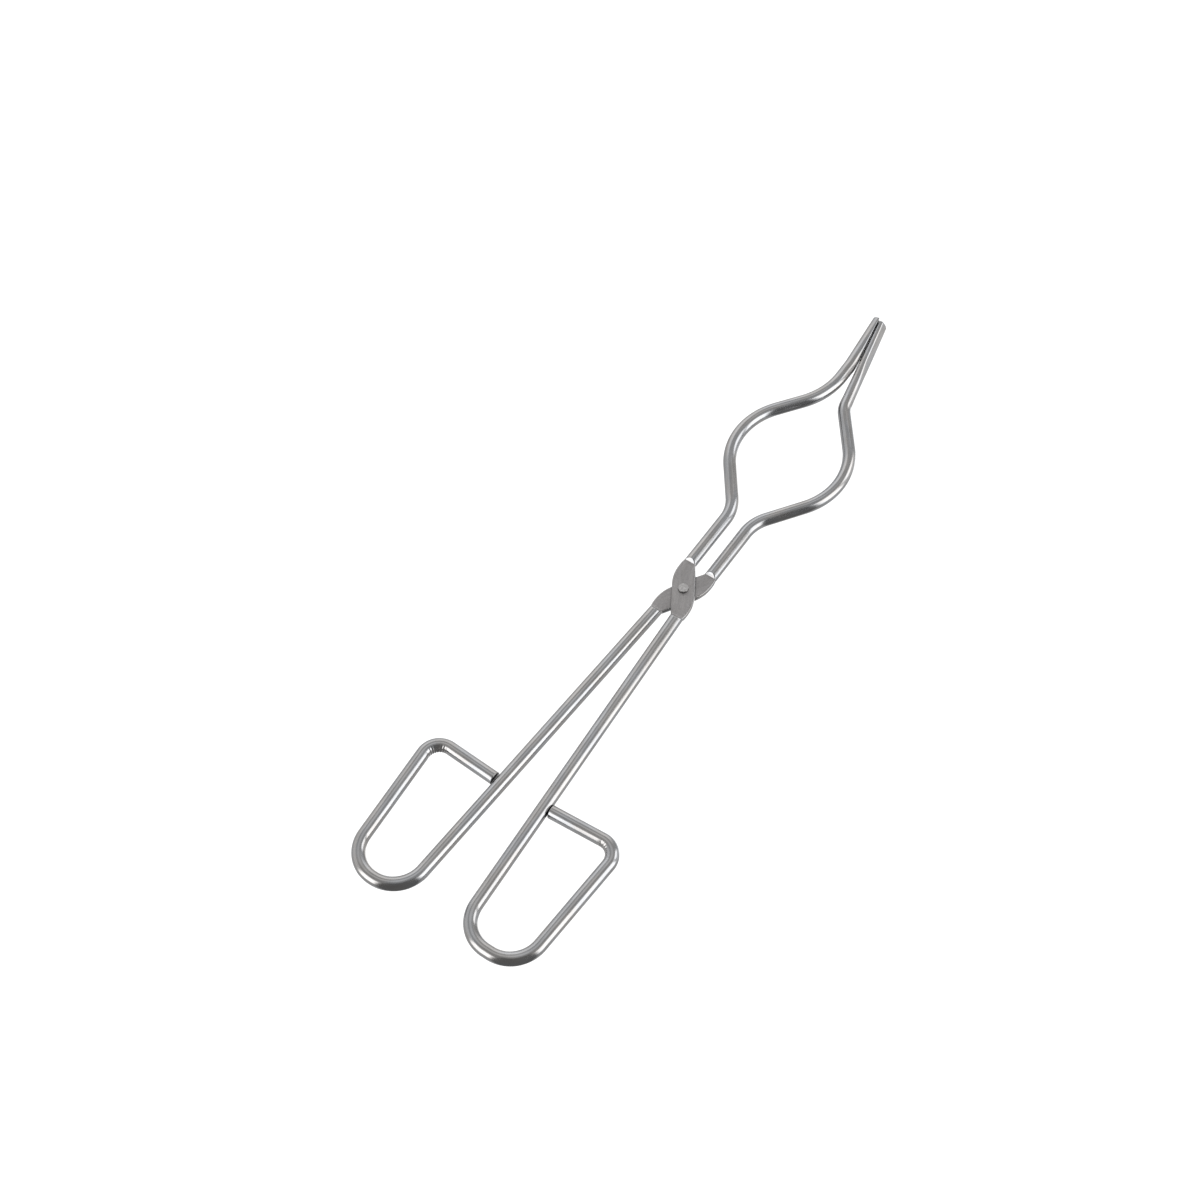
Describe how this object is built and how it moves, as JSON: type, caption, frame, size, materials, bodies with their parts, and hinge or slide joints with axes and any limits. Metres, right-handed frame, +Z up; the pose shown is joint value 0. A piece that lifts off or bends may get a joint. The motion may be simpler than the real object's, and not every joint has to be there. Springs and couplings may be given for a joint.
{
  "type": "crucible tongs",
  "caption": "Scissor-action steel tongs of bent round rod, with open finger loops, a round bow that holds a crucible, and grooved tips.",
  "frame": {"origin": "on the surface that the tongs lie on, under the middle of their box", "axes": "+X along the tongs towards the jaws, +Y across the tongs on the side of the lower arm's finger loop, +Z up along the rivet"},
  "size_m": [0.3022, 0.0832, 0.0073],
  "materials": {
    "arm_steel": "satin polished stainless rod",
    "rivet_steel": "hammered bright steel"
  },
  "bodies": {
    "lower": {"lower_arm": "arm_steel", "rivet": "rivet_steel"},
    "upper": {"upper_arm": "arm_steel"}
  },
  "joints": [
    {"name": "pivot", "type": "hinge", "parent": "lower", "child": "upper", "pos_m": [0.00353, 0, 0.00502], "axis": [0, 0, 1], "range_deg": [0, 115]}
  ]
}
